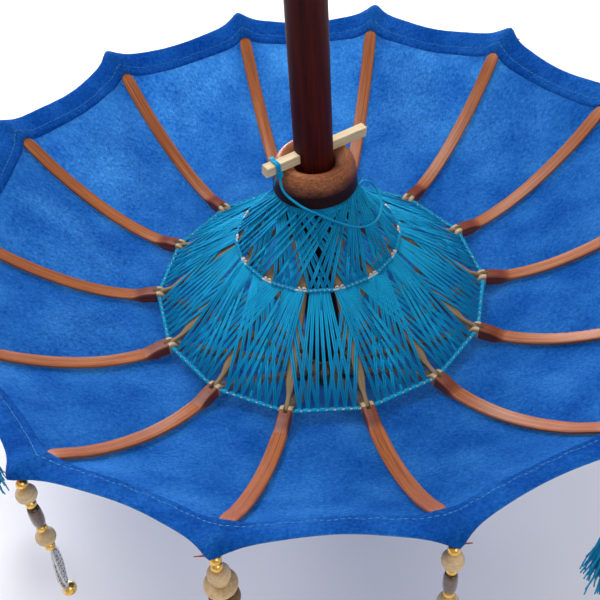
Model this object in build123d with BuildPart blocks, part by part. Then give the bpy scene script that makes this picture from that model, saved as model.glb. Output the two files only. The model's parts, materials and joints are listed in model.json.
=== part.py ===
from build123d import *
import math
import os

# Small ceremonial umbrella, open, standing on its crown with the pole end up.
# Units are millimetres. The origin is the lowest point of the finial, on the
# pole axis. +Z runs up the pole, from the crown to the free end.
# Each moving piece is drawn once in the XZ plane (azimuth 0) and then turned
# about the pole axis to its place.

# ---------------------------------------------------------------- dimensions
RIB_COUNT = 14
STEP = 360 / RIB_COUNT
FIRST_AZIMUTH = STEP / 2 - 90       # the middle of a bay faces the front, -Y

RING_Z = 96.0                       # height of the rib and stretcher joints
RING_RADIUS = 88.0                  # radius of those joints when open
PIVOT_RADIUS = 13.2                 # hinge circle in the hub and in the runner
LINK_RISE = 59.2                    # hub hinges below the ring, runner hinges above
HUB_Z = RING_Z - LINK_RISE
RUNNER_Z = RING_Z + LINK_RISE
LINK_RUN = RING_RADIUS - PIVOT_RADIUS
LINK_LENGTH = math.hypot(LINK_RUN, LINK_RISE)
LINK_ANGLE = math.degrees(math.atan2(LINK_RISE, LINK_RUN))

HINGE = (PIVOT_RADIUS, HUB_Z)
JOINT = (RING_RADIUS, RING_Z)
SLEEVE = (PIVOT_RADIUS, RUNNER_Z)

POLE_RADIUS = 9.5
POLE_FOOT = 18.0
POLE_TOP = 576.0
GRIP_LENGTH = 60.0                  # plain end above the turned groove
GROOVE_DEPTH = 0.8
GROOVE_WIDTH = 3.0

CORD_RADIUS = 0.6
CORD_HOLE = 0.75
TONGUE_WIDTH = 2.6                  # rib and stretcher ends in the hub and runner
SLOT_WIDTH = 3.2
SLOT_DEPTH_RADIUS = 10.6
FORK_SLOT = 2.4                     # slot in the rib head
FORK_POCKET = 2.4                   # radius of that slot round the joint
FORK_TONGUE = 2.0                   # stretcher end in that slot

HUB_RADIUS = 18.5
HUB_BOTTOM = 28.0
HUB_TOP = HUB_Z + 6.2
CAP_BOTTOM = 20.0
CAP_RADIUS = 21.0

STRIP_HALF = 0.9                    # half thickness of the flat rib strip
TIP_RADIUS = 199.2                  # radius of the rib tip when open
TASSEL_PIVOT = (197.6, RING_Z + 57.6)
LOOP_HALF = 3.4                     # half width of the thread loop in the rib tip
LOOP_DROP = 5.2
CANOPY_CORNER = (196.4, RING_Z + 55.3)
CLOTH_GAP = 1.6
CLOTH_THICKNESS = 0.5

RUNNER_BORE = 9.9
RUNNER_SKIRT_RADIUS = 18.5
RUNNER_EDGE_Z = RING_Z + 70.9
RUNNER_EDGE_RADIUS = 21.0
RUNNER_TOP = RING_Z + 87.4

PEG_AZIMUTH = 31.1
PEG_SIZE = 5.0
PEG_HOLE = 5.4
PEG_Z = RUNNER_TOP + 0.2 + PEG_SIZE / 2
PEG_ENDS = (-27.6, 29.4)            # along the peg, from the pole axis

NET_THICKNESS = 0.6
INNER_RING_RADIUS = 42.0


# ------------------------------------------------------------------- helpers
def azimuth(index):
    """Azimuth in degrees of rib number index, counted from 0."""
    return FIRST_AZIMUTH + index * STEP


def along(origin, angle, distance, offset):
    """Point at a distance along a line from origin, and an offset to its left."""
    c = math.cos(math.radians(angle))
    s = math.sin(math.radians(angle))
    return (origin[0] + distance * c - offset * s, origin[1] + distance * s + offset * c)


def near(point, dx, dz):
    """Point moved by dx outward and dz up."""
    return (point[0] + dx, point[1] + dz)


def turned(shape, angle, label):
    """Copy of a shape turned about the pole axis and named."""
    with BuildPart() as copy:
        add(shape, rotation=(0, 0, angle))
    copy.part.label = label
    return copy.part


def save(shape):
    """Write one named node."""
    export_step(shape, f"parts/{shape.label}.step")


def plan_outline(half_widths):
    """Closed plan outline from (radius, half width) pairs."""
    right = [(radius, -half) for radius, half in half_widths]
    left = [(radius, half) for radius, half in reversed(half_widths)]
    return right + left


def strip_points(offset):
    """Points of the bowed rib strip outside the joint, shifted along its normal."""
    stations = (8, 24, 42, 60, 78, 94, 102, TIP_RADIUS - RING_RADIUS)
    heights = (-0.9, 2.2, 9.2, 20.0, 34.2, 49.7, 55.0, 58.2)
    points = []
    for index, (run, rise) in enumerate(zip(stations, heights)):
        low = max(index - 1, 0)
        high = min(index + 1, len(stations) - 1)
        slope = math.atan2(heights[high] - heights[low], stations[high] - stations[low])
        points.append(near(JOINT, run - offset * math.sin(slope), rise + offset * math.cos(slope)))
    return points


# ------------------------------------------------------- pole, hub and crown
with BuildPart() as pole:
    with BuildSketch(Plane.XY.offset(POLE_FOOT)):
        Circle(POLE_RADIUS)
    extrude(amount=POLE_TOP - POLE_FOOT)
    chamfer(pole.edges().group_by(Axis.Z)[-1], 1.2)
    with BuildSketch(Plane.XY.offset(POLE_TOP - GRIP_LENGTH - GROOVE_WIDTH)):
        Circle(POLE_RADIUS + 1)
        Circle(POLE_RADIUS - GROOVE_DEPTH, mode=Mode.SUBTRACT)
    extrude(amount=GROOVE_WIDTH, mode=Mode.SUBTRACT)
    with Locations(Location((0, 0, PEG_Z), (0, 0, PEG_AZIMUTH))):
        Box(4 * POLE_RADIUS, PEG_HOLE, PEG_HOLE, mode=Mode.SUBTRACT)
pole.part.label = "pole"
save(pole.part)

with BuildPart() as crown_hub:
    with BuildSketch(Plane.XZ):
        with BuildLine():
            Polyline(
                (POLE_RADIUS, HUB_BOTTOM),
                (HUB_RADIUS - 1.5, HUB_BOTTOM),
                (HUB_RADIUS, HUB_BOTTOM + 1.5),
                (HUB_RADIUS, HUB_TOP - 1.5),
                (HUB_RADIUS - 1.5, HUB_TOP),
                (POLE_RADIUS, HUB_TOP),
                close=True,
            )
        make_face()
    revolve(axis=Axis.Z)
    slot_floor = HUB_Z - 3.2
    with PolarLocations(0, RIB_COUNT, start_angle=FIRST_AZIMUTH):
        with Locations((SLOT_DEPTH_RADIUS + 6, 0, slot_floor + 10)):
            Box(12, SLOT_WIDTH, 20, mode=Mode.SUBTRACT)
    with Locations((0, 0, HUB_Z)):
        Torus(PIVOT_RADIUS, CORD_HOLE, mode=Mode.SUBTRACT)
crown_hub.part.label = "crown_hub"
save(crown_hub.part)

with BuildPart() as hub_cord:
    with Locations((0, 0, HUB_Z)):
        Torus(PIVOT_RADIUS, CORD_RADIUS)
hub_cord.part.label = "hub_cord"
save(hub_cord.part)

with BuildPart() as crown_cap:
    with BuildSketch(Plane.XZ):
        with BuildLine():
            Polyline(
                (POLE_RADIUS, CAP_BOTTOM),
                (CAP_RADIUS - 6, CAP_BOTTOM),
                (CAP_RADIUS, CAP_BOTTOM + 3.4),
                (CAP_RADIUS, HUB_BOTTOM - 2.2),
                (CAP_RADIUS - 1, HUB_BOTTOM - 1.2),
                (POLE_RADIUS, HUB_BOTTOM - 1.2),
                close=True,
            )
        make_face()
    revolve(axis=Axis.Z)
crown_cap.part.label = "crown_cap"
save(crown_cap.part)

with BuildPart() as finial:
    with BuildSketch(Plane.XZ):
        with BuildLine():
            Polyline(
                (2.6, 0),
                (0, 0),
                (0, POLE_FOOT),
                (POLE_RADIUS, POLE_FOOT),
                (POLE_RADIUS, CAP_BOTTOM),
                (12.0, CAP_BOTTOM),
            )
            Spline(
                (12.0, CAP_BOTTOM),
                (7.4, 15.6),
                (10.2, 10.0),
                (7.6, 3.6),
                (2.6, 0),
                tangents=((-0.6, -1), (-1, -0.2)),
            )
        make_face()
    revolve(axis=Axis.Z)
finial.part.label = "finial"
save(finial.part)


# ---------------------------------------------------------------------- ribs
with BuildPart() as rib:
    with BuildSketch(Plane.XZ):
        with Locations(HINGE):
            Circle(2.2)
        with BuildLine():
            Polyline(
                along(HINGE, LINK_ANGLE, 0, 1.6),
                along(HINGE, LINK_ANGLE, LINK_LENGTH, 1.6),
                along(HINGE, LINK_ANGLE, LINK_LENGTH, -2.6),
                along(HINGE, LINK_ANGLE, 12, -2.6),
                along(HINGE, LINK_ANGLE, 0, -2.2),
                close=True,
            )
        make_face()
        with Locations(JOINT):
            Circle(2.7)
        with BuildLine():
            Polyline(
                near(JOINT, 0, 2.7),
                near(JOINT, 7.5, 2.5),
                near(JOINT, 14.5, 1.1),
                near(JOINT, 17.0, -0.4),
                near(JOINT, 9.5, -3.9),
                near(JOINT, 0.5, -3.9),
                near(JOINT, -2.6, -1.6),
                close=True,
            )
        make_face()
        with BuildLine():
            upper = Spline(*strip_points(STRIP_HALF))
            lower = Spline(*strip_points(-STRIP_HALF))
            Line(upper @ 0, lower @ 0)
            Line(upper @ 1, lower @ 1)
        make_face()
    extrude(amount=3.75, both=True)
    with BuildSketch(Plane.XY.offset(HUB_Z - 10)):
        Polygon(
            *plan_outline([
                (PIVOT_RADIUS - 4, TONGUE_WIDTH / 2),
                (22.5, TONGUE_WIDTH / 2),
                (36, 2.4),
                (80, 2.4),
                (84, 3.2),
                (98, 3.2),
                (104, 3.75),
                (178, 3.75),
                (190, 1.8),
                (TIP_RADIUS + 2, 1.3),
            ]),
            align=None,
        )
    extrude(amount=140, mode=Mode.INTERSECT)
    with BuildSketch(Plane.XZ):
        with Locations(HINGE, JOINT):
            Circle(CORD_HOLE)
        with Locations(TASSEL_PIVOT):
            Circle(0.5)
    extrude(amount=5, both=True, mode=Mode.SUBTRACT)
    with BuildSketch(Plane.XZ):
        with Locations(JOINT):
            Circle(FORK_POCKET)
        with Locations(near(JOINT, 0.3, 2.2)):
            Rectangle(6.6, 7.6)
    extrude(amount=FORK_SLOT / 2, both=True, mode=Mode.SUBTRACT)

for number in range(RIB_COUNT):
    save(turned(rib.part, azimuth(number), f"rib_{number + 1:02d}"))


# ---------------------------------------------------------------- stretchers
INWARD = 180 - LINK_ANGLE           # direction from the joint to the runner
with BuildPart() as stretcher:
    with BuildSketch(Plane.XZ):
        with Locations(JOINT, SLEEVE):
            Circle(2.0)
        with BuildLine():
            Polyline(
                along(JOINT, INWARD, 0, 2.0),
                along(JOINT, INWARD, 6, 2.0),
                along(JOINT, INWARD, 11, 4.0),
                along(JOINT, INWARD, LINK_LENGTH - 16, 3.3),
                along(JOINT, INWARD, LINK_LENGTH - 9, 2.0),
                along(JOINT, INWARD, LINK_LENGTH, 2.0),
                along(JOINT, INWARD, LINK_LENGTH, -1.2),
                along(JOINT, INWARD, LINK_LENGTH - 9, 0.7),
                along(JOINT, INWARD, 9, 0.7),
                along(JOINT, INWARD, 0, -1.0),
                close=True,
            )
        make_face()
    extrude(amount=2.6, both=True)
    with BuildSketch(Plane.XY.offset(RING_Z - 10)):
        Polygon(
            *plan_outline([
                (PIVOT_RADIUS - 4, TONGUE_WIDTH / 2),
                (22.5, TONGUE_WIDTH / 2),
                (36, 2.4),
                (76, 2.4),
                (82, FORK_TONGUE / 2),
                (RING_RADIUS + 4, FORK_TONGUE / 2),
            ]),
            align=None,
        )
    extrude(amount=90, mode=Mode.INTERSECT)
    with BuildSketch(Plane.XZ):
        with Locations(JOINT, SLEEVE):
            Circle(CORD_HOLE)
    extrude(amount=5, both=True, mode=Mode.SUBTRACT)

for number in range(RIB_COUNT):
    save(turned(stretcher.part, azimuth(number), f"stretcher_{number + 1:02d}"))


# -------------------------------------------------------------------- runner
with BuildPart() as runner:
    with BuildSketch(Plane.XZ):
        with BuildLine():
            Polyline(
                (RUNNER_BORE, RUNNER_Z - 6),
                (RUNNER_SKIRT_RADIUS, RUNNER_Z - 6),
                (RUNNER_SKIRT_RADIUS, RUNNER_EDGE_Z),
                (RUNNER_EDGE_RADIUS, RUNNER_EDGE_Z),
                (20.6, RUNNER_EDGE_Z + 6.0),
            )
            Spline(
                (20.6, RUNNER_EDGE_Z + 6.0),
                (19.6, RUNNER_TOP - 4.2),
                (15.8, RUNNER_TOP),
                (11.9, RUNNER_TOP - 2.4),
                (RUNNER_BORE, RUNNER_TOP - 7.0),
                tangents=((-0.1, 1), (-0.05, -1)),
            )
            Line((RUNNER_BORE, RUNNER_TOP - 7.0), (RUNNER_BORE, RUNNER_Z - 6))
        make_face()
    revolve(axis=Axis.Z)
    slot_top = RUNNER_Z + 2.6
    with PolarLocations(0, RIB_COUNT, start_angle=FIRST_AZIMUTH):
        with Locations((SLOT_DEPTH_RADIUS + 6, 0, slot_top - 10)):
            Box(12, SLOT_WIDTH, 20, mode=Mode.SUBTRACT)
    with Locations((0, 0, RUNNER_Z)):
        Torus(PIVOT_RADIUS, CORD_HOLE, mode=Mode.SUBTRACT)
runner.part.label = "runner"
save(runner.part)

with BuildPart() as runner_cord:
    with Locations((0, 0, RUNNER_Z)):
        Torus(PIVOT_RADIUS, CORD_RADIUS)
runner_cord.part.label = "runner_cord"
save(runner_cord.part)

with BuildPart() as runner_binding:
    with Locations((0, 0, RUNNER_EDGE_Z - 0.8)):
        Torus(RUNNER_SKIRT_RADIUS + 0.8, 0.8)
runner_binding.part.label = "runner_binding"
save(runner_binding.part)


# ------------------------------------------------------------- peg with cord
with BuildPart() as lock_peg:
    with Locations(Location((0, 0, PEG_Z), (0, 0, PEG_AZIMUTH))):
        with Locations(((PEG_ENDS[0] + PEG_ENDS[1]) / 2, 0, 0)):
            Box(PEG_ENDS[1] - PEG_ENDS[0], PEG_SIZE, PEG_SIZE)
    chamfer(lock_peg.edges(), 0.3)
lock_peg.part.label = "lock_peg"
save(lock_peg.part)

peg_end = Plane(
    origin=(
        (PEG_ENDS[0] + 4.6) * math.cos(math.radians(PEG_AZIMUTH)),
        (PEG_ENDS[0] + 4.6) * math.sin(math.radians(PEG_AZIMUTH)),
        PEG_Z,
    ),
    z_dir=(math.cos(math.radians(PEG_AZIMUTH)), math.sin(math.radians(PEG_AZIMUTH)), 0),
)
with BuildPart() as peg_cord:
    with BuildSketch(peg_end.offset(-0.6)):
        RectangleRounded(PEG_SIZE + 2.8, PEG_SIZE + 2.8, 1.3)
        Rectangle(PEG_SIZE + 0.4, PEG_SIZE + 0.4, mode=Mode.SUBTRACT)
    extrude(amount=1.2)
    with BuildLine():
        drape = Spline(
            (-18.0, -16.4, PEG_Z - 3.4),
            (-15.0, -21.4, RUNNER_TOP - 12.0),
            (0.0, -27.0, RUNNER_EDGE_Z - 6.0),
            (16.0, -26.0, RUNNER_EDGE_Z - 8.0),
            (29.0, -8.0, RUNNER_EDGE_Z - 2.0),
            (25.0, 4.0, RUNNER_EDGE_Z + 1.0),
        )
    with BuildSketch(Plane(origin=drape @ 0, z_dir=drape % 0)):
        Circle(0.6)
    sweep(path=drape)
peg_cord.part.label = "peg_cord"
save(peg_cord.part)


# --------------------------------------------------- thread net and its cords
def ring_points(radius, half_flat, height):
    """Corners of a cord ring with a short straight run across every rib."""
    points = []
    for index in range(RIB_COUNT):
        angle = math.radians(azimuth(index))
        for side in (-half_flat, half_flat):
            points.append((
                radius * math.cos(angle) - side * math.sin(angle),
                radius * math.sin(angle) + side * math.cos(angle),
                height,
            ))
    return points


def cord_ring(radius, half_flat, height, label):
    """Closed cord that runs straight from rib to rib."""
    with BuildPart() as cord:
        with BuildLine():
            path = Polyline(*ring_points(radius, half_flat, height), close=True)
        start = path.edges()[0]
        with BuildSketch(Plane(origin=start @ 0.5, z_dir=start % 0.5)):
            Circle(CORD_RADIUS)
        sweep(path=path, transition=Transition.RIGHT)
    cord.part.label = label
    return cord.part


def net_shell(inner, outer, label):
    """Thin cone that stands for a layer of threads between two circles."""
    with BuildPart() as shell:
        with BuildSketch(Plane.XZ):
            with BuildLine():
                Polyline(
                    inner,
                    outer,
                    near(outer, 0, NET_THICKNESS),
                    near(inner, 0, NET_THICKNESS),
                    close=True,
                )
            make_face()
        revolve(axis=Axis.Z)
    shell.part.label = label
    return shell.part


inner_ring_z = RING_Z + (RING_RADIUS - INNER_RING_RADIUS) * LINK_RISE / LINK_RUN + 0.4
save(cord_ring(RING_RADIUS, 3.6, RING_Z, "outer_ring_cord"))
save(cord_ring(INNER_RING_RADIUS, 2.8, inner_ring_z, "inner_ring_cord"))
save(net_shell((43.4, inner_ring_z - 0.9), (84.0, RING_Z + 3.6), "outer_net"))
save(net_shell((20.9, RUNNER_EDGE_Z - 1.6), (41.0, inner_ring_z + 1.2), "inner_net"))


# -------------------------------------------------------------------- canopy
def canopy_profile(drop):
    """Points of the cloth along a rib, a vertical distance under the rib."""
    edge = HUB_BOTTOM - 0.35 - drop
    inside = [
        (POLE_RADIUS + 0.6, edge),
        (CAP_RADIUS, edge),
        near(along(HINGE, LINK_ANGLE, 16, -2.6), 0, -CLOTH_GAP - drop),
        near(along(HINGE, LINK_ANGLE, 60, -2.6), 0, -CLOTH_GAP - drop),
        near(JOINT, -6, -9.4 - drop),
        near(JOINT, 6, -6.4 - drop),
    ]
    outside = [near(point, 0, -CLOTH_GAP - drop) for point in strip_points(-STRIP_HALF)[1:-1]]
    return inside + outside + [near(CANOPY_CORNER, 0, -drop)]


with BuildPart() as canopy_panel:
    for edge_angle in (0, STEP):
        rib_plane = Plane.XZ.rotated((0, 0, edge_angle))
        with BuildSketch(rib_plane):
            with BuildLine():
                top = Polyline(*canopy_profile(0))
                bottom = Polyline(*canopy_profile(CLOTH_THICKNESS))
                Line(top @ 0, bottom @ 0)
                Line(top @ 1, bottom @ 1)
            make_face()
    loft(ruled=True)

with BuildPart() as canopy:
    with PolarLocations(0, RIB_COUNT, start_angle=FIRST_AZIMUTH):
        add(canopy_panel.part)
    with BuildSketch(Plane.XY.offset(RING_Z + 30)):
        with PolarLocations(CANOPY_CORNER[0], RIB_COUNT, start_angle=FIRST_AZIMUTH):
            Rectangle(12, 9)
    extrude(amount=40, mode=Mode.SUBTRACT)
canopy.part.label = "canopy"
save(canopy.part)


# ------------------------------------------------------------------- tassels
def bead(drop, radius, length):
    """Turned bead, its top a distance under the pivot."""
    with Locations((TASSEL_PIVOT[0], 0, TASSEL_PIVOT[1] - drop - length / 2)):
        Cylinder(radius, length)


def ball(drop, radius):
    """Round bead, its middle a distance under the pivot."""
    with Locations((TASSEL_PIVOT[0], 0, TASSEL_PIVOT[1] - drop)):
        Sphere(radius)


def bore(length):
    """Hole for the thread through every bead."""
    with Locations((TASSEL_PIVOT[0], 0, TASSEL_PIVOT[1] - length / 2)):
        Cylinder(0.55, length, mode=Mode.SUBTRACT)


def thread(length):
    """Loop through the rib tip and the thread that hangs from it."""
    x, z = TASSEL_PIVOT
    with Locations(Location((x, 0, z), (90, 0, 0))):
        Cylinder(0.4, 2 * LOOP_HALF)
    for side in (-1, 1):
        middle = (x, side * LOOP_HALF / 2, z - LOOP_DROP / 2)
        with Locations(Plane(origin=middle, z_dir=(0, -side * LOOP_HALF, -LOOP_DROP))):
            Cylinder(0.35, math.hypot(LOOP_HALF, LOOP_DROP))
    with Locations((x, 0, z - LOOP_DROP - length / 2 + 0.4)):
        Cylinder(0.4, length)


with BuildPart() as tassel_a:
    ball(8.0, 2.5)
    ball(13.1, 2.5)
    bead(15.7, 4.6, 8.8)
    bead(24.7, 6.8, 7.6)
    bead(33.4, 6.3, 6.6)
    ball(42.8, 2.6)
    with BuildSketch(Plane.XY.offset(TASSEL_PIVOT[1] - 45.6)):
        with Locations((TASSEL_PIVOT[0], 0)):
            Circle(3.2)
    with BuildSketch(Plane.XY.offset(TASSEL_PIVOT[1] - 114)):
        with Locations((TASSEL_PIVOT[0], 0)):
            Circle(11.0)
    loft()
    bore(120)
    thread(100)

with BuildPart() as tassel_b:
    ball(9.0, 2.5)
    ball(16.2, 4.5)
    ball(23.3, 2.4)
    bead(26.0, 3.0, 13.0)
    ball(41.6, 2.4)
    ball(48.7, 4.5)
    ball(55.9, 2.5)
    with Locations((TASSEL_PIVOT[0], 0, TASSEL_PIVOT[1] - 75)):
        Box(13, 1.6, 30)
    ball(94.0, 3.5)
    bore(110)
    thread(92)

for number in range(RIB_COUNT):
    pattern = tassel_a if number % 2 else tassel_b
    save(turned(pattern.part, azimuth(number), f"tassel_{number + 1:02d}"))
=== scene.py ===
import json
import math
import random

import bmesh
import bpy
import numpy as np
from mathutils import Matrix, Vector


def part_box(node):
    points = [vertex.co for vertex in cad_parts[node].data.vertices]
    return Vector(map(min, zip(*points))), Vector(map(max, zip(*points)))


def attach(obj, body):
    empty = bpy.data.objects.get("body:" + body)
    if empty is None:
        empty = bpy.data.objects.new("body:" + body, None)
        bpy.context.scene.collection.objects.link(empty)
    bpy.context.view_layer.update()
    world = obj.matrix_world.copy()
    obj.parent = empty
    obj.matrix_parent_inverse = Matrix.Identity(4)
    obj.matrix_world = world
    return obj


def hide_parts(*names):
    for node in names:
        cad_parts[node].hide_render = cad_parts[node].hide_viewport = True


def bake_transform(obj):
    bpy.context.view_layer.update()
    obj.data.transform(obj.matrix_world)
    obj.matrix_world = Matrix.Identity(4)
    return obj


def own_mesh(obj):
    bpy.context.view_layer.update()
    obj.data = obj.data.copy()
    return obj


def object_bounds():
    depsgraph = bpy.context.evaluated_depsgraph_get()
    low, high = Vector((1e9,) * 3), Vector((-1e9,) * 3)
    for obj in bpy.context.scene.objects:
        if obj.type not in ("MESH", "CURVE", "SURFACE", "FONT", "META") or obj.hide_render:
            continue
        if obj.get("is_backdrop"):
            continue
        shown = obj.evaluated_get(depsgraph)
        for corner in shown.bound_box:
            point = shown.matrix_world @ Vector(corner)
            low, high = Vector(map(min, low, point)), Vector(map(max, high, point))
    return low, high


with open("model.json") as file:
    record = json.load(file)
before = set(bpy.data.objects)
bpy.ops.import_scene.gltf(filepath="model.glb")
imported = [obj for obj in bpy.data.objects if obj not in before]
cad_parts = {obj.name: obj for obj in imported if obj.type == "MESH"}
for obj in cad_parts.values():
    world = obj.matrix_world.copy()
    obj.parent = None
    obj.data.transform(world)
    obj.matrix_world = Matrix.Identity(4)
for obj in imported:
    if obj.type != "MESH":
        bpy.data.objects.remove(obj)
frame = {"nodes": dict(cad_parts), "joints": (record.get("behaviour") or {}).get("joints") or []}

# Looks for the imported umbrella. Lengths in this file are millimetres in the
# frame of the model, and meshes are written in metres. A rib plane is a vertical
# plane through the pole axis; every rib, stretcher and cloth sector has its own.
# An azimuth is the angle of such a plane about the pole, in radians.

CAD_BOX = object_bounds()
MM = 0.001
FULL_TURN = 2 * math.pi
JOINTS = {joint["name"]: joint for joint in frame["joints"]}


# ------------------------------------------------------- places in the frame
def polar(joint):
    """Radius and height of a joint."""
    x, y, z = JOINTS[joint]["pos_m"]
    return math.hypot(x, y) / MM, z / MM


def span(node, axis="z"):
    """Lowest and highest place of a node along an axis."""
    return [getattr(corner, axis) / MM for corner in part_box(node)]


RIBS = sum(1 for name in JOINTS if name.startswith("stretcher_"))
STEP = FULL_TURN / RIBS
FIRST = math.atan2(JOINTS["fold"]["pos_m"][1], JOINTS["fold"]["pos_m"][0])
HUB_R, HUB_Z = polar("fold")
RING_R, RING_Z = polar("stretcher_01_hinge")
SLEEVE_R, SLEEVE_Z = polar("runner_hinge")
TASSEL_R, TASSEL_Z = polar("tassel_01_hinge")
SLOPE = math.atan2(RING_Z - HUB_Z, RING_R - HUB_R)
RUNNER_TOP = span("runner")[1]
BINDING_TOP = span("runner_binding")[1]
BINDING_Z = sum(span("runner_binding")) / 2
NET_TOP_Z = BINDING_Z - 1.4
INNER_RING_Z = sum(span("inner_ring_cord")) / 2
CLAMP_Z = span("crown_hub")[0]
PEG_DIRECTION = -Vector(JOINTS["lock_peg_slide"]["axis"])
PEG_Z = sum(span("lock_peg")) / 2

LINK_SECANT = 1 / math.cos(SLOPE)   # vertical stretch of a thickness on the link slope
LINK_RISE = 1.6                     # top of a rib above its link line
LINK_DEPTH = 2.6                    # bottom of a rib below its link line
STRIP_HALF = 0.9                    # half thickness of the bowed strip
CORD_HOLE = 0.75                    # radius of the holes for the hinge cords
CORD_RADIUS = 0.6
THREAD_RADIUS = 0.43

INNER_RING_R = 42.0                 # inner cord ring at the rib planes
PAIR_OFFSET = 0.45                  # half distance of the two threads of a loop
FAN_SPREAD = 0.62                   # width of a fan at the inner cord against the outer
FAN_AZIMUTHS = (-92, -15, 62, -169, -246)   # middles of the fans, in degrees
FAN_LIFTS = (1.35, 0.75)            # layers of threads that cross above each other
NEXT_FAN_LIFT = 0.35
LEANING_LIFT = -0.15
LOOPS_PER_BAY = 7
INNER_LOOPS_PER_BAY = 4

CLOTH_GAP = 1.0
CLOTH_THICKNESS = 0.34
CLOTH_START_R = 10.1
CROWN_OUTER_R = 40.0
SHOULDER_OUTER_R = 62.0
CORNER_R = 196.4                    # corner of the canopy at a rib tip
CORNER_Z = RING_Z + 55.3
HEM_WIDTH = 14.0
RIM_SCALLOP = 4.5                   # inward bow of the rim between two corners
CORNER_PULL = 5.2                   # outward pull of the rim at a corner
RIM_START_R = 150.0                 # where the scallop begins to show
CLOTH_COLUMNS = 41

SHOULDER_SHARE = 0.39               # share of width for a soft piece, handed to gather
PANEL_SHARE = 0.28
NET_SHARE = 0.24
OUTER_CORD_SHARE = 0.185
KNOT_SHARE = 0.8


def azimuth(index):
    """Azimuth of rib number index, counted from 0."""
    return FIRST + index * STEP


def numbered(stem, index):
    """Name of a piece or body that repeats at each rib."""
    return f"{stem}_{index + 1:02d}"


def place(angle, radius, side, height):
    """Point at a radius, a sideways offset and a height, for an azimuth."""
    c = math.cos(angle)
    s = math.sin(angle)
    return (radius * c - side * s, radius * s + side * c, height)


def hang(index, x, y, drop):
    """Point below a tassel joint, at plan offsets out along and across the rib plane."""
    return place(azimuth(index), TASSEL_R + x, y, TASSEL_Z - drop)


def wrapped(angle):
    """Angle brought into the half-open turn around zero."""
    return (angle + math.pi) % FULL_TURN - math.pi


def fade(distance, length):
    """0 up to distance 0, then a straight rise to 1 over the length."""
    return min(1.0, max(0.0, distance / length))


def bell(distance, width, power=2.0):
    """1 at distance 0, falling smoothly away over the width."""
    return math.exp(-(distance / width) ** power)


def turn_angles(count, turns=1):
    """Evenly counted angles over whole turns, with both ends."""
    return np.linspace(0, FULL_TURN * turns, count + 1)


# -------------------------------------------------------------- mesh helpers
class Builder:
    """Collects the vertices, faces, UVs and material numbers of one mesh."""

    def __init__(self):
        self.vertices = []
        self.faces = []
        self.uvs = []
        self.slots = []

    def add(self, vertices, faces, uvs, slot=0):
        """Add faces; uvs holds one (u, v) per face corner, in millimetres."""
        base = len(self.vertices)
        self.vertices.extend(tuple(point) for point in vertices)
        self.faces.extend(tuple(base + index for index in face) for face in faces)
        self.uvs.extend(uvs)
        self.slots.extend([slot] * len(faces))

    def tube(self, points, radius, sides=8, slot=0):
        self.add(*tube(points, radius, sides), slot)

    def mesh(self, *keys, sharp_angle=None):
        """Smooth mesh in the named materials, sharp where sharp_angle is passed."""
        mesh = bpy.data.meshes.new("mesh")
        mesh.from_pydata([(x * MM, y * MM, z * MM) for x, y, z in self.vertices], [], self.faces)
        layer = mesh.uv_layers.new(name="millimetres")
        layer.data.foreach_set("uv", np.array(self.uvs, np.float32).ravel())
        for key in keys:
            mesh.materials.append(MATERIALS[key])
        mesh.polygons.foreach_set("material_index", self.slots)
        mesh.polygons.foreach_set("use_smooth", [True] * len(self.faces))
        mesh.validate()
        if sharp_angle is not None:
            mark_sharp(mesh, sharp_angle)
        return mesh


def mark_sharp(mesh, angle):
    """Mark the edges whose faces meet at more than angle degrees."""
    work = bmesh.new()
    work.from_mesh(mesh)
    for edge in work.edges:
        edge.smooth = edge.calc_face_angle(0.0) < math.radians(angle)
    work.to_mesh(mesh)
    work.free()


def add_object(name, data):
    thing = bpy.data.objects.new(name, data)
    bpy.context.scene.collection.objects.link(thing)
    return thing


def piece(name, mesh, body=None, slot=None, replaces=()):
    """Object for a mesh, riding on a body."""
    mesh.name = name
    thing = add_object(name, mesh)
    if body:
        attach(thing, body)
    if replaces:
        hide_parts(*replaces)
    return thing


def applied(work, *helpers):
    """Mesh of a work object with its modifiers applied; the objects are removed."""
    graph = bpy.context.evaluated_depsgraph_get()
    result = bpy.data.meshes.new_from_object(work.evaluated_get(graph))
    for thing in (work, *helpers):
        bpy.data.objects.remove(thing)
    return result


def gather(thing, share):
    """Give a soft piece its own copy of its mesh."""
    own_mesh(thing)


def skin(rings, around, along, flip=False, cap_uvs=None):
    """Closed skin over rings of points: vertices, faces and UVs.

    around and along hold the UV distances; flip is for rings listed the other way
    round; cap_uvs holds the UVs of the first and the last ring.
    """
    count = len(rings[0])
    vertices = [point for ring in rings for point in ring]
    faces = []
    uvs = []
    for row in range(len(rings) - 1):
        for side in range(count):
            after = (side + 1) % count
            low = row * count
            high = low + count
            u0, u1 = around[side], around[side + 1]
            v0, v1 = along[row], along[row + 1]
            corners = [(low + side, (u0, v0)), (low + after, (u1, v0)),
                       (high + after, (u1, v1)), (high + side, (u0, v1))]
            if flip:
                corners = corners[:1] + corners[:0:-1]
            faces.append(tuple(index for index, _ in corners))
            uvs.extend(uv for _, uv in corners)
    ends = [list(range(count)), list(range(len(vertices) - count, len(vertices)))]
    end_uvs = [list(uv) for uv in cap_uvs or ([(0, 0)] * count, [(0, 0)] * count)]
    backward = 1 if flip else 0
    ends[backward].reverse()
    end_uvs[backward].reverse()
    return vertices, faces + [tuple(end) for end in ends], uvs + end_uvs[0] + end_uvs[1]


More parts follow.
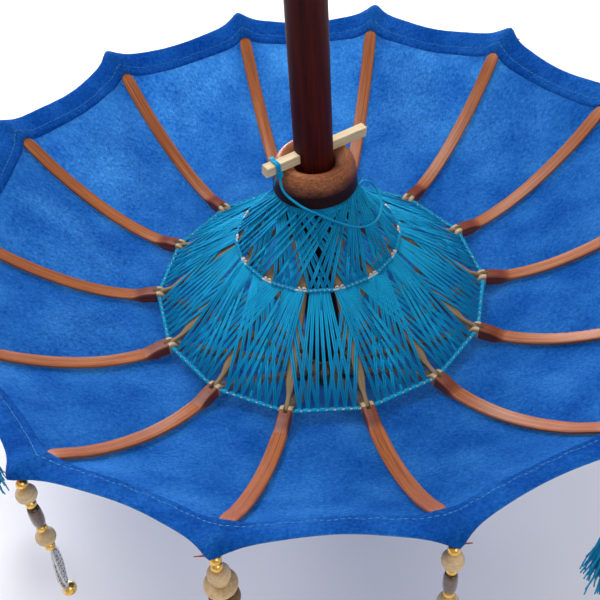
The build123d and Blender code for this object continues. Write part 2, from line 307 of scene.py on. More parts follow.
def tube(points, radius, sides=8):
    """Round tube along points; radius is one number or one per point."""
    path = np.array(points, float)
    steps = np.diff(path, axis=0)
    lengths = np.linalg.norm(steps, axis=1)
    along = np.concatenate([[0], np.cumsum(lengths)])
    units = steps / np.maximum(lengths, 1e-9)[:, None]
    tangents = np.vstack([units[:1], units[:-1] + units[1:], units[-1:]])
    tangents /= np.linalg.norm(tangents, axis=1)[:, None]
    normal = np.array([0, 0, 1.0]) if abs(tangents[0][2]) < 0.9 else np.array([1.0, 0, 0])
    radii = np.broadcast_to(np.asarray(radius, float), (len(path),))
    angles = np.arange(sides) * FULL_TURN / sides
    rings = []
    for point, tangent, size in zip(path, tangents, radii):
        normal = normal - tangent * (normal @ tangent)
        normal /= np.linalg.norm(normal)
        binormal = np.cross(tangent, normal)
        rings.append(point + size * (np.outer(np.cos(angles), normal) + np.outer(np.sin(angles), binormal)))
    width = FULL_TURN * float(radii.max()) / sides
    return skin(rings, [width * side for side in range(sides + 1)], along)


def lathe(profile, segments=36):
    """Closed turned shape from (radius, height) pairs that start and end on the axis."""
    inner = profile[1:-1]
    vertices = [(0, 0, profile[0][1])]
    for radius, height in inner:
        vertices += [place(angle, radius, 0, height) for angle in turn_angles(segments)[:-1]]
    vertices.append((0, 0, profile[-1][1]))
    top = 1 + (len(inner) - 1) * segments
    faces = []
    uvs = []
    for index in range(segments):
        after = (index + 1) % segments
        faces += [(0, 1 + after, 1 + index), (top + index, top + after, top + segments)]
        uvs += [(0, 0)] * 6
        for row, ((r0, v0), (r1, v1)) in enumerate(zip(inner, inner[1:])):
            low = 1 + row * segments
            high = low + segments
            faces.append((low + index, low + after, high + after, high + index))
            width = FULL_TURN * max(r0, r1) / segments
            u0, u1 = index * width, (index + 1) * width
            uvs += [(u0, v0), (u1, v0), (u1, v1), (u0, v1)]
    return vertices, faces, uvs


def smooth_curve(knots, at):
    """Smooth curve through (x, y) knots, read at one or many x values."""
    xs, ys = np.array(knots, float).T
    slopes = np.gradient(ys, xs)
    at = np.clip(np.asarray(at, float), xs[0], xs[-1])
    low = np.clip(np.searchsorted(xs, at, side="right") - 1, 0, len(xs) - 2)
    width = xs[low + 1] - xs[low]
    t = (at - xs[low]) / width
    a = ys[low] * (1 + 2 * t) * (1 - t) ** 2 + slopes[low] * width * t * (1 - t) ** 2
    b = ys[low + 1] * t * t * (3 - 2 * t) + slopes[low + 1] * width * t * t * (t - 1)
    return a + b


def straight_curve(knots, at):
    """Straight runs through (x, y) knots, read at one or many x values."""
    xs, ys = zip(*knots)
    return np.interp(at, xs, ys)


def spline(points, count):
    """Smooth path through points, evenly counted."""
    knots = np.array(points, float)
    distance = np.concatenate([[0], np.cumsum(np.linalg.norm(np.diff(knots, axis=0), axis=1))])
    at = np.linspace(0, distance[-1], count)
    axes = [smooth_curve(list(zip(distance, knots[:, axis])), at) for axis in range(3)]
    return list(zip(*axes))


# ----------------------------------------------------------------- materials
class Shader:
    """Adds and links the nodes of one material."""

    def __init__(self, name):
        self.material = bpy.data.materials.new(name)
        self.material.use_nodes = True
        self.tree = self.material.node_tree
        self.bsdf = self.tree.nodes["Principled BSDF"]
        self.output = self.tree.nodes["Material Output"]

    def node(self, kind, inputs=None, **settings):
        """New node; inputs maps socket names or numbers to values or sockets."""
        node = self.tree.nodes.new(kind)
        for key, value in settings.items():
            setattr(node, key, value)
        for key, value in (inputs or {}).items():
            self.feed(node.inputs[key], value)
        return node

    def feed(self, socket, value):
        """Set a socket to a number or an (r, g, b) colour, or link another socket to it."""
        if isinstance(value, (int, float)):
            socket.default_value = value
        elif isinstance(value, tuple):
            socket.default_value = (*value, 1)
        else:
            self.tree.links.new(value, socket)

    def coordinates(self, scale=(1, 1, 1), source="UV"):
        """Texture coordinates in millimetres, stretched by scale."""
        read = self.node("ShaderNodeTexCoord")
        mapping = self.node("ShaderNodeMapping", {"Vector": read.outputs[source]})
        factor = 1.0 if source == "UV" else 1 / MM
        mapping.inputs["Scale"].default_value = [value * factor for value in scale]
        return mapping.outputs["Vector"]

    def axes(self, source):
        """The three plain coordinates as separate sockets."""
        read = self.node("ShaderNodeTexCoord")
        return self.node("ShaderNodeSeparateXYZ", {0: read.outputs[source]}).outputs

    def noise(self, fineness, source="UV", detail=3, roughness=0.55, distortion=0.0):
        """Noise that is as fine along each coordinate as the three numbers say."""
        vector = self.coordinates(fineness, source)
        inputs = {"Scale": 1.0, "Detail": detail, "Roughness": roughness, "Distortion": distortion}
        return self.node("ShaderNodeTexNoise", {**inputs, "Vector": vector}).outputs["Fac"]

    def wave(self, direction, scale, distortion):
        inputs = {"Scale": scale, "Distortion": distortion, "Vector": self.coordinates()}
        return self.node("ShaderNodeTexWave", inputs, bands_direction=direction).outputs["Fac"]

    def math(self, operation, first, second=0.5):
        return self.node("ShaderNodeMath", {0: first, 1: second}, operation=operation).outputs[0]

    def scaled(self, source, factor, offset):
        return self.math("ADD", self.math("MULTIPLY", source, factor), offset)

    def weighed(self, *terms):
        """Sum of (socket, weight) terms."""
        total = None
        for source, weight in terms:
            part = self.math("MULTIPLY", source, weight)
            total = part if total is None else self.math("ADD", total, part)
        return total

    def ramp(self, factor, *stops):
        """Colour ramp from (position, (r, g, b)) stops."""
        node = self.node("ShaderNodeValToRGB", {"Fac": factor})
        elements = node.color_ramp.elements
        while len(elements) < len(stops):
            elements.new(0.5)
        for element, (position, color) in zip(elements, stops):
            element.position = position
            element.color = (*color, 1)
        return node.outputs["Color"]

    def mix(self, factor, first, second):
        """Colour mixed from two sockets or (r, g, b) values."""
        return self.node("ShaderNodeMix", {0: factor, 6: first, 7: second}, data_type="RGBA").outputs[2]

    def bump(self, height, distance, strength=1.0, below=None):
        inputs = {"Strength": strength, "Distance": distance * MM, "Height": height}
        if below is not None:
            inputs["Normal"] = below
        return self.node("ShaderNodeBump", inputs).outputs["Normal"]

    def finish(self, color, roughness, normal=None, **values):
        """Feed the surface; further values are named after its inputs."""
        self.feed(self.bsdf.inputs["Base Color"], color)
        self.feed(self.bsdf.inputs["Roughness"], roughness)
        if normal is not None:
            self.feed(self.bsdf.inputs["Normal"], normal)
        for name, value in values.items():
            self.feed(self.bsdf.inputs[name.replace("_", " ")], value)
        return self.material


def blended(first, second):
    """Colour halfway between two colours."""
    return tuple((a + b) / 2 for a, b in zip(first, second))


def wood(name, dark, light, grain, source="UV", gloss=0.5, coat=0.0, depth=0.05):
    """Wood with long grain; grain gives how fine the figure is along each coordinate."""
    shader = Shader(name)
    fibre = shader.noise(grain, source, 6, 0.65, 0.4)
    figure = shader.noise(tuple(value * 0.23 for value in grain), source, 2)
    blotch = shader.noise((0.06, 0.06, 0.06), source)
    tone = shader.weighed((fibre, 0.55), (figure, 0.45))
    color = shader.ramp(tone, (0.34, dark), (0.5, blended(dark, light)), (0.66, light))
    color = shader.mix(shader.math("MULTIPLY", blotch, 0.35), color, tuple(value * 0.55 for value in dark))
    rough = shader.scaled(fibre, 0.25, gloss - 0.12)
    return shader.finish(color, rough, shader.bump(fibre, depth),
                         Coat_Weight=coat, Coat_Roughness=0.25, Specular_IOR_Level=0.14)


def turned_wood():
    """Turned runner: fine rings, a lighter shoulder that is painted highlight and a darker foot."""
    shader = Shader("turned_stained_wood")
    rings = shader.noise((0.05, 0.05, 3.4), "Object", 4, 0.7)
    fibre = shader.noise((0.5, 1.9, 0.9), "Object", 5, 0.65, 0.6)
    cloud = shader.noise((0.09, 0.09, 0.14), "Object")
    tone = shader.weighed((rings, 0.35), (fibre, 0.65))
    # Painted highlight: the shoulder colour stands in for light on the top of the runner. It is mixed in by
    # height, so the runner is lighter at the top and darker towards the foot.
    shoulder = shader.ramp(tone, (0.36, (0.15, 0.042, 0.016)), (0.5, (0.31, 0.105, 0.043)),
                           (0.64, (0.47, 0.18, 0.080)))
    foot = shader.ramp(tone, (0.36, (0.007, 0.0025, 0.0018)), (0.64, (0.034, 0.010, 0.006)))
    height = shader.math("SUBTRACT", shader.math("DIVIDE", shader.axes("Object")[2], MM), RUNNER_TOP - 9.0)
    highlight_level = shader.weighed((height, 0.16), (cloud, 1.1))
    share = shader.math("MINIMUM", shader.math("MAXIMUM", shader.math("SUBTRACT", highlight_level, 0.35), 0.0), 1.0)
    relief = shader.bump(shader.math("ADD", rings, fibre), 0.05)
    return shader.finish(shader.mix(share, foot, shoulder), shader.scaled(fibre, 0.2, 0.34), relief,
                         Specular_IOR_Level=0.16)


def stained_strip():
    """Stained rib: bare wood inside the joint, a dark head, a paler bowed strip."""
    shader = Shader("stained_bamboo_strip")
    fibre = shader.noise((2.4, 0.05, 1.0), "UV", 6, 0.7, 0.3)
    streak = shader.noise((0.9, 0.012, 1.0))
    patch = shader.noise((0.12, 0.03, 1.0), "UV", 2)
    tone = shader.weighed((fibre, 0.5), (streak, 0.5))
    strip = shader.ramp(tone, (0.36, (0.17, 0.036, 0.009)), (0.5, (0.37, 0.105, 0.028)),
                        (0.64, (0.56, 0.20, 0.070)))
    head = shader.ramp(tone, (0.35, (0.075, 0.013, 0.006)), (0.68, (0.30, 0.062, 0.022)))
    bare = shader.ramp(tone, (0.35, (0.36, 0.25, 0.14)), (0.66, (0.70, 0.56, 0.38)))
    ragged = shader.math("ADD", shader.axes("UV")[1], shader.math("MULTIPLY", patch, 2.0))
    past_head = shader.math("MULTIPLY", shader.math("SUBTRACT", ragged, RING_R + 12), 0.2)
    is_strip = shader.math("MAXIMUM", shader.math("SMOOTH_MIN", past_head, 1.0), 0.0)
    is_painted = shader.math("GREATER_THAN", ragged, RING_R + 2.6)
    color = shader.mix(is_painted, bare, shader.mix(is_strip, head, strip))
    pores = shader.math("GREATER_THAN", shader.noise((5.5, 0.10, 1.0), "UV", 3, 0.6), 0.62)
    color = shader.mix(shader.math("MULTIPLY", pores, 0.45), color, (0.055, 0.012, 0.005))
    color = shader.mix(shader.math("MULTIPLY", patch, 0.30), color, (0.16, 0.035, 0.012))
    return shader.finish(color, shader.scaled(fibre, 0.22, 0.27), shader.bump(fibre, 0.06),
                         Specular_IOR_Level=0.3)


def cloth():
    """Thin plain-weave cotton that lets light through."""
    shader = Shader("blue_cotton")
    strands = shader.math("ADD", shader.wave("X", 0.62, 0.6), shader.wave("Y", 0.62, 0.6))
    checker = shader.node("ShaderNodeTexChecker", {"Scale": 4.0, "Vector": shader.coordinates()})
    weave = shader.weighed((strands, 0.35), (checker.outputs["Fac"], 0.3))
    slubs = shader.math("ADD", shader.noise((0.25, 3.0, 1)), shader.noise((3.0, 0.25, 1)))
    mottle = shader.noise((0.55, 0.55, 1), "UV", 5, 0.8)
    cloud = shader.noise((0.035, 0.035, 1))
    tone = shader.weighed((mottle, 0.45), (cloud, 0.25), (slubs, 0.15))
    front = shader.ramp(tone, (0.40, (0.002, 0.064, 0.32)), (0.5, (0.005, 0.122, 0.48)),
                        (0.60, (0.036, 0.24, 0.67)))
    front = shader.mix(shader.math("MULTIPLY", weave, 0.22), front, (0.003, 0.035, 0.24))
    relief = shader.bump(slubs, 0.10, 0.4, shader.bump(weave, 0.10, 0.55))
    shader.finish(front, 0.9, relief, Specular_IOR_Level=0.08, Sheen_Weight=0.06, Sheen_Roughness=0.5,
                  Sheen_Tint=(0.15, 0.45, 1.0))
    through = shader.ramp(tone, (0.41, (0.08, 0.32, 0.70)), (0.59, (0.36, 0.72, 0.99)))
    glow = shader.node("ShaderNodeBsdfTranslucent", {"Color": through, "Normal": relief})
    blend = shader.node("ShaderNodeMixShader", {"Fac": 0.54, 1: shader.bsdf.outputs[0], 2: glow.outputs[0]})
    shader.feed(shader.output.inputs["Surface"], blend.outputs[0])
    return shader.material


def yarn(name, dark, light, pitch=2.2, radius=THREAD_RADIUS):
    """Twisted cotton: plies wind round the strand as dark and light stripes; the dark stripes are painted
    shade in the grooves between the plies.
    """
    shader = Shader(name)
    plies = 3.0
    around, along, _ = shader.axes("UV")
    turn = shader.math("ADD", shader.math("MULTIPLY", around, plies / (FULL_TURN * radius)),
                       shader.math("DIVIDE", along, pitch / 2))
    # Painted shade: the dark half of each ply stripe stands in for the shade in the grooves of the twist; the
    # same wave also drives the bump.
    ply_relief_and_shade = shader.scaled(shader.math("SINE", shader.math("MULTIPLY", turn, FULL_TURN)), 0.5, 0.5)
    fibre = shader.noise((5.0, 2.0, 1.0), "UV", 4, 0.7)
    shade = shader.noise((0.11, 0.11, 0.11), "Object", 3, 0.6)
    tone = shader.weighed((ply_relief_and_shade, 0.45), (fibre, 0.35), (shade, 0.30))
    color = shader.ramp(tone, (0.25, dark), (0.5, blended(dark, light)), (0.8, light))
    relief = shader.bump(shader.math("ADD", ply_relief_and_shade, shader.math("MULTIPLY", fibre, 0.5)), 0.2)
    return shader.finish(color, 0.7, relief, Specular_IOR_Level=0.2, Sheen_Weight=0.08,
                         Sheen_Roughness=0.4, Sheen_Tint=light)


def metal(name, dark, light):
    """Plated bead: slightly uneven plating and fine scratches."""
    shader = Shader(name)
    patch = shader.noise((0.8, 0.8, 0.8), "Object", 4)
    scratch = shader.noise((6, 0.5, 6), "Object")
    color = shader.ramp(patch, (0.35, dark), (0.65, light))
    return shader.finish(color, shader.scaled(scratch, 0.2, 0.12), shader.bump(scratch, 0.02), Metallic=1.0)


def lacquer(name, dark, light, rough, coat):
    """Smooth coated bead or leaf with a faintly clouded colour."""
    shader = Shader(name)
    cloud = shader.noise((0.35, 0.35, 0.9), "Object", 4)
    color = shader.ramp(cloud, (0.35, dark), (0.65, light))
    return shader.finish(color, shader.scaled(cloud, 0.15, rough - 0.07), shader.bump(cloud, 0.03),
                         Coat_Weight=coat)


BEAD_GRAIN = (0.5, 0.5, 2.6)
MATERIALS = {
    "pole": wood("mahogany_varnish", (0.018, 0.0015, 0.0008), (0.105, 0.0095, 0.0040),
                 (1.3, 1.3, 0.05), "Object"),
    "runner": turned_wood(),
    "crown": wood("crown_stained_wood", (0.05, 0.012, 0.006), (0.22, 0.07, 0.035),
                  (0.9, 0.9, 1.6), "Object", coat=0.1, depth=0.08),
    "hub": wood("bare_hub_wood", (0.30, 0.20, 0.11), (0.58, 0.44, 0.28), (1.4, 1.4, 0.10), "Object", 0.7),
    "strip": stained_strip(),
    "bamboo": wood("bare_bamboo", (0.14, 0.085, 0.042), (0.50, 0.36, 0.20),
                   (2.6, 0.06, 1.0), gloss=0.62, depth=0.07),
    "peg": wood("pale_peg_wood", (0.56, 0.42, 0.23), (0.86, 0.73, 0.50),
                (2.2, 0.10, 1.0), gloss=0.62, depth=0.07),
    "bead_wood": wood("pale_bead_wood", (0.52, 0.34, 0.16), (0.90, 0.70, 0.43),
                      BEAD_GRAIN, "Object", coat=0.1),
    "bead_dark": wood("brown_bead_wood", (0.09, 0.040, 0.018), (0.34, 0.19, 0.095),
                      BEAD_GRAIN, "Object", 0.45, 0.15),
    "horn": lacquer("horn_bead", (0.020, 0.008, 0.005), (0.13, 0.055, 0.028), 0.2, 0.8),
    "gold": metal("gold_plate", (0.66, 0.34, 0.06), (0.98, 0.66, 0.20)),
    "white_leaf": lacquer("white_leaf", (0.62, 0.60, 0.57), (0.86, 0.84, 0.82), 0.35, 0.3),
    "cloth": cloth(),
    "blue": yarn("blue_thread", (0.000, 0.10, 0.28), (0.004, 0.60, 1.0), 1.7),
    "white": yarn("white_cord", (0.42, 0.40, 0.34), (0.92, 0.90, 0.84), radius=CORD_RADIUS),
    "tan": yarn("tan_binding", (0.28, 0.19, 0.08), (0.70, 0.55, 0.30), radius=0.8),
    "red": yarn("red_thread", (0.20, 0.012, 0.006), (0.62, 0.085, 0.030), 1.4, 0.35),
    "stitch": yarn("stitch_thread", (0.02, 0.20, 0.48), (0.16, 0.50, 0.86), 1.2, 0.2),
}


# ------------------------------------------------------------- wooden straps
def strap(stations, top, bottom, half, chamfer, crown):
    """Strap along +X: flat sides, chamfered edges and a slightly crowned top."""
    rings = []
    for x in stations:
        upper = float(top(x))
        lower = float(bottom(x))
        wide = float(half(x))
        cut = min(chamfer, wide * 0.4, (upper - lower) * 0.4)
        ridge = upper + crown * 0.8
        outline = [(-wide, lower + cut), (-wide, upper - cut), (-wide + cut, upper),
                   (-wide * 0.4, ridge), (wide * 0.4, ridge),
                   (wide - cut, upper), (wide, upper - cut), (wide, lower + cut),
                   (wide - cut, lower), (-wide + cut, lower)]
        rings.append([(x, y, z) for y, z in outline])
    around = [0, 2, 3, 5, 9, 11, 12, 14, 16, 22, 24]
    cap_uvs = [[(y, x + z * 0.01) for x, y, z in ring] for ring in (rings[0], rings[-1])]
    return skin(rings, around, stations, True, cap_uvs)


def link_height(x):
    """Height of a rib's inner link line at a radius."""
    return HUB_Z + (x - HUB_R) * math.tan(SLOPE)


# Heights over a radius; both count from the ring joint.
STRIP_KNOTS = [(8, -0.9), (24, 2.2), (42, 9.2), (60, 20.0), (78, 34.2), (94, 49.7), (102, 55.0),
               (111.2, 58.2)]
HEAD_TOP = [(-2.6, 0.4), (-1.6, 2.0), (0, 2.7), (7.5, 2.5), (14.5, 1.1), (19, -9)]
HEAD_BOTTOM = [(-4, -6.5), (0.5, -3.9), (9.5, -3.9), (17.0, -0.4), (19, 9)]
# Half widths over the radius.
RIB_HALVES = [(11, 1.0), (12, 1.3), (22.5, 1.3), (36, 2.4), (80, 2.4), (84, 3.2), (98, 3.15), (101, 3.35),
              (104, 3.75), (178, 3.75), (190, 1.8), (199.2, 1.3)]
STRETCHER_HALVES = [(11, 1.3), (22.5, 1.3), (36, 2.4), (76, 2.4), (82, 1.0), (90, 1.0)]
HEAD_END = RING_R + 19              # the carved head has run out into the strip


def strip_height(x):
    """Height of the middle of the bowed strip at a radius."""
    return RING_Z + smooth_curve(STRIP_KNOTS, x - RING_R)


def strip_secant(x):
    """Vertical stretch of the strip's thickness at its slope."""
    return math.hypot(1, strip_height(x + 0.5) - strip_height(x - 0.5))


def rib_top(x):
    tip = HUB_R + 1.2
    if x < tip:
        return HUB_Z + LINK_RISE * LINK_SECANT - 0.35 * (tip - x)
    if x < RING_R - 2.6:
        return link_height(x) + LINK_RISE * LINK_SECANT
    strip = strip_height(x) + STRIP_HALF * strip_secant(x)
    if x > HEAD_END:
        return strip
    head = straight_curve(HEAD_TOP, x - RING_R) + RING_Z
    return max(strip, head) if x > RING_R + 7 else head


def rib_bottom(x):
    if x < RING_R - 4:
        return max(link_height(x) - LINK_DEPTH * LINK_SECANT, HUB_Z - 2.2)
    strip = strip_height(x) - STRIP_HALF * strip_secant(x)
    if x > HEAD_END:
        return strip
    head = straight_curve(HEAD_BOTTOM, x - RING_R) + RING_Z
    return min(strip, head) if x > RING_R + 9 else head


def cut_out(shape, cutters):
    """Mesh of a shape with cutter blocks and rods taken out of it."""
    work = []
    for number, part in enumerate([shape, *cutters]):
        builder = Builder()
        builder.add(*part)
        work.append(piece(f"work_{number}", builder.mesh()))
    body, *tools = work
    for tool in tools:
        modifier = body.modifiers.new(tool.name, "BOOLEAN")
        modifier.operation = "DIFFERENCE"
        modifier.solver = "EXACT"
        modifier.object = tool
    return applied(body, *tools)


def block(low, high):
    """Plain cutter block between two corners."""
    (x0, y0, z0), (x1, y1, z1) = low, high
    vertices = [(x, y, z) for x in (x0, x1) for y in (y0, y1) for z in (z0, z1)]
    faces = [(0, 1, 3, 2), (4, 6, 7, 5), (0, 4, 5, 1), (2, 3, 7, 6), (0, 2, 6, 4), (1, 5, 7, 3)]
    return vertices, faces, [(0, 0)] * 24


def hole(x, z):
    """Cutter rod for a hinge cord across a strap."""
    return tube([(x, -6, z), (x, 6, z)], CORD_HOLE, 20)


def rib_mesh():
    stations = [*np.arange(11.0, 84, 1.5), *np.arange(84.0, 110, 0.7), *np.arange(110, 199.3, 1.4)]
    shape = strap(stations, rib_top, rib_bottom, lambda x: straight_curve(RIB_HALVES, x), 0.45, 0.22)
    slot = block((RING_R - 3.2, -1.2, RING_Z - 1.9), (RING_R + 3.6, 1.2, RING_Z + 6))
    return cut_out(shape, [slot, hole(HUB_R, HUB_Z), hole(RING_R, RING_Z)])


def stretcher_mesh():
    length = math.hypot(RING_R - SLEEVE_R, SLEEVE_Z - RING_Z)
    tops = [(-2.4, 0.2), (-1.2, 1.4), (0, 1.6), (9, -0.7), (length - 9, -0.7), (length, 1.2),
            (length + 2, -0.6)]
    bottoms = [(-2.4, -0.6), (0, -2.0), (6, -2.0), (11, -4.0), (length - 16, -3.3), (length - 9, -2.0),
               (length, -2.0), (length + 2, -1.0)]

    def edge(offsets):
        """Height of an edge at a radius, from its offsets along the stretcher."""
        def height(x):
            inward = RING_R - x
            offset = straight_curve(offsets, inward * LINK_SECANT)
            return RING_Z + inward * math.tan(SLOPE) + offset * LINK_SECANT
        return height

    stations = list(np.arange(SLEEVE_R - 1.5, RING_R + 1.6, 1.4))
    shape = strap(stations, edge(tops), edge(bottoms),
                  lambda x: straight_curve(STRETCHER_HALVES, x), 0.4, 0.15)
    return cut_out(shape, [hole(SLEEVE_R, SLEEVE_Z), hole(RING_R, RING_Z)])


def place_straps(master, stem, material, slot):
    """One turned copy of a strap per rib plane, with its own stretch of grain."""
    for index in range(RIBS):
        node = numbered(stem, index)
        mesh = master.copy()
        mesh.transform(Matrix.Rotation(azimuth(index), 4, "Z"))
        uv = np.zeros(len(mesh.loops) * 2, np.float32)
        mesh.uv_layers[0].data.foreach_get("uv", uv)
        uv[0::2] += index * 31.7
        mesh.uv_layers[0].data.foreach_set("uv", uv)
        mesh.materials.clear()
        mesh.materials.append(MATERIALS[material])
        mesh.polygons.foreach_set("use_smooth", [True] * len(mesh.polygons))
        mark_sharp(mesh, 24)
        piece(node + "_wood", mesh, node, slot, [node])


# -------------------------------------------------------------------- canopy
def cloth_profile():
    """Radii and heights of the cloth under the middle of a rib, in half millimetres."""
    knots = [(21, CLAMP_Z - 0.6)]
    for radius, gap in ((27.0, 2.0), (28.5, 1.7), (32, 1.5), (40, 1.3), (55, 1.0), (72, 1.0)):
        knots.append((radius, link_height(radius) - (LINK_DEPTH + gap) * LINK_SECANT))
    knots += [(84, RING_Z - 7.6), (94, RING_Z - 5.3)]
    for radius in (106, 118, 130, 142, 154, 166, 178, 188):
        knots.append((radius, strip_height(radius) - STRIP_HALF * strip_secant(radius) - CLOTH_GAP))
    knots.append((CORNER_R + 4, CORNER_Z + 1.2))
    radii = np.arange(21.0, CORNER_R + 4, 0.5)
    return radii, smooth_curve(knots, radii)


PROFILE_RADII, PROFILE_HEIGHTS = cloth_profile()


def cloth_height(x):
    """Height of the cloth under the middle of a rib at a radius."""
    return float(np.interp(x, PROFILE_RADII, PROFILE_HEIGHTS))


def wrinkle(x, y):
    """Shallow fixed ripples of the stretched cloth."""
    angle = math.atan2(y, x)
    radius = math.hypot(x, y)
    fine = math.sin(0.11 * x + 0.05 * y + 1.3) * math.sin(0.07 * y - 0.04 * x)
    fan = math.sin(9 * angle + 0.05 * radius) * math.sin(0.045 * radius)
    return 0.35 * fine + 0.30 * fan


def panel_rows(start, stop):
    """Stations along a panel: (radius, fold) with fold 0 on the cloth and 1 on the hem."""
    outer = min(stop, CORNER_R - 1)
    count = round((outer - start) / 2.6) + 2
    rows = [(radius, 0.0) for radius in np.linspace(start, outer, count)]
    if stop < CORNER_R:
        return rows
    seam = CORNER_R - HEM_WIDTH
    rows += [(CORNER_R, 0.0), (CORNER_R + 0.45, 0.25), (CORNER_R + 0.5, 0.6), (CORNER_R, 1.0)]
    rows += [(radius, 1.0) for radius in np.linspace(CORNER_R - 1, seam, 12)]
    return rows + [(seam - 0.25, 0.72), (seam + 0.1, 0.5)]


def panel_point(index, share, radius, fold):
    """Point of a cloth panel; share runs from -0.5 to 0.5 across one rib step."""
    weight = abs(share)
    chord = 2 * math.sin(STEP / 2)
    rim_side = weight * chord * CORNER_R
    outer = max(0.0, (radius - RIM_START_R) / (CORNER_R - RIM_START_R))
    pull = CORNER_PULL * bell(rim_side, 7.2, 1.6) - RIM_SCALLOP * math.sin(math.pi * weight) ** 1.6
    reach = radius + pull * outer ** 2
    height = cloth_height(reach)
    near = place(azimuth(index), reach, 0, height)
    far = place(azimuth(index) + math.copysign(STEP, share), reach, 0, height)
    x, y, z = (p + (q - p) * weight for p, q in zip(near, far))
    flat = math.hypot(x, y)

    off_rib = min(1.0, weight * 4)
    ripple = wrinkle(x, y) * off_rib * fade(radius - 60, 40)
    slack = fade(radius - 58, 20) * fade(192 - radius, 14)
    z += ripple - 1.7 * slack * bell(weight * chord * reach, 14)

    rise = cloth_height(reach + 0.5) - cloth_height(reach - 0.5)
    secant = math.hypot(1, rise)
    over_rib = 3.6 * bell(rim_side, 6.5, 1.6) * fade(CORNER_R + 2.5 - radius, 5.0)
    seam_roll = 0.5 * bell(abs(radius - CORNER_R + HEM_WIDTH - 1.6), 1.3)
    pucker = 0.35 * math.sin(rim_side * 0.55 + index) * math.sin(math.pi * (CORNER_R - radius) / HEM_WIDTH)
    lift = fold * (0.72 + over_rib + seam_roll + pucker * off_rib)
    inward = rise / secant * lift / flat
    return (x - inward * x, y - inward * y, z + lift / secant)


def panel_mesh(index, start, stop):
    """Cloth between the middles of the two bays beside a rib."""
    rows = panel_rows(start, stop)
    shares = np.linspace(-0.5, 0.5, CLOTH_COLUMNS)
    vertices = [panel_point(index, share, radius, fold) for radius, fold in rows for share in shares]
    faces = []
    uvs = []
    for row, (_, fold) in enumerate(rows[:-1]):
        shift = 40 if fold > 0.5 else 0
        for column in range(CLOTH_COLUMNS - 1):
            low = row * CLOTH_COLUMNS + column
            corners = (low, low + CLOTH_COLUMNS, low + CLOTH_COLUMNS + 1, low + 1)
            faces.append(corners)
            uvs += [(vertices[corner][0], vertices[corner][1] * 1.15 + shift) for corner in corners]
    builder = Builder()
    builder.add(vertices, faces, uvs)
    work = piece("work", builder.mesh("cloth"))
    shell = work.modifiers.new("thickness", "SOLIDIFY")
    shell.thickness = CLOTH_THICKNESS * MM
    shell.offset = 0
    mesh = applied(work)
    mark_sharp(mesh, 62)
    return mesh


def hem_stitches(index):
    """Running stitches along the inner edge of the hem."""
    builder = Builder()
    radius = CORNER_R - HEM_WIDTH + 3.6
    count = int(2 * radius * math.sin(STEP / 2) / 2.6)
    for number in range(count):
        middle = -0.5 + (number + 0.5) / count
        path = []
        for along, lift in ((-0.33, 0.12), (0, 0.40), (0.33, 0.12)):
            x, y, z = panel_point(index, middle + along / count, radius, 1.0)
            path.append((x, y, z + lift))
        builder.tube(path, 0.2, 6)
    return builder.mesh("stitch")


def build_canopy():
    """Cloth in ring zones: the crown is not attached to a body; the rest rides on the ribs."""
    for index in range(RIBS):
        rib = numbered("rib", index)
        crown_mesh = panel_mesh(index, CLOTH_START_R, CROWN_OUTER_R)
        crown = piece(numbered("canopy_crown", index), crown_mesh, None, "blue_cloth", ["canopy"])
        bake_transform(crown)
        for zone, mesh, share in (
            ("shoulder", panel_mesh(index, CROWN_OUTER_R, SHOULDER_OUTER_R), SHOULDER_SHARE),
            ("panel", panel_mesh(index, SHOULDER_OUTER_R, CORNER_R), PANEL_SHARE),
            ("stitches", hem_stitches(index), PANEL_SHARE),
        ):
            gather(piece(numbered("canopy_" + zone, index), mesh, rib, "blue_cloth"), share)


# ---------------------------------------------------------------- thread net
def from_bay_middle(angle):
    """Angle from the middle of the bay that an azimuth lies in."""
    return wrapped(angle - FIRST) % STEP - STEP / 2


def ring_point(angle, corner_radius):
    """Plan point of a cord ring with a corner at every rib, at an azimuth."""
    radius = corner_radius * math.cos(STEP / 2) / math.cos(from_bay_middle(angle))
    return np.array([radius * math.cos(angle), radius * math.sin(angle)])


def ring_radius(x, y):
    """Corner radius of the cord ring that passes through a plan point."""
    return math.hypot(x, y) * math.cos(from_bay_middle(math.atan2(y, x))) / math.cos(STEP / 2)


def sector_cuts(start, end):
    """Shares of a plan line at which it crosses rib planes and bay middles."""
    step = end - start
    cuts = []
    for number in range(2 * RIBS):
        angle = FIRST + number * STEP / 2
        direction = np.array([math.cos(angle), math.sin(angle)])
        slope = step[0] * direction[1] - step[1] * direction[0]
        if abs(slope) < 1e-9:
            continue
        share = -(start[0] * direction[1] - start[1] * direction[0]) / slope
        if 0.001 < share < 0.999 and (start + step * share) @ direction > 0:
            cuts.append(share)
    return [0.0] + sorted(cuts) + [1.0]


def nearest_rib(x, y):
    return round(wrapped(math.atan2(y, x) - FIRST) / STEP) % RIBS


def lay_thread(sectors, start, end, height):
    """Add one thread to the sectors it crosses, cut at the bay middles."""
    points = []
    for share in sector_cuts(start, end):
        x, y = start + (end - start) * share
        points.append((x, y, height(x, y, share)))
    run = [points[0]]
    owner = None
    for first, second in zip(points, points[1:]):
        rib = nearest_rib((first[0] + second[0]) / 2, (first[1] + second[1]) / 2)
        if owner is not None and rib != owner:
            sectors[owner].tube(run, THREAD_RADIUS)
            run = [first]
        run.append(second)
        owner = rib
    sectors[owner].tube(run, THREAD_RADIUS)


def side_step(start, end, offset):
    """Both ends of a plan line moved sideways by an offset."""
    direction = (end - start) / np.linalg.norm(end - start)
    across = np.array([-direction[1], direction[0]]) * offset
    return start + across, end + across


def outer_loops():
    """Azimuths of the loops along the outer cord."""
    for bay in range(RIBS):
        a = ring_point(azimuth(bay), RING_R)
        b = ring_point(azimuth(bay + 1), RING_R)
        for number in range(LOOPS_PER_BAY):
            x, y = a + (b - a) * (0.10 + 0.80 * (number + 0.5) / LOOPS_PER_BAY)
            yield math.atan2(y, x)


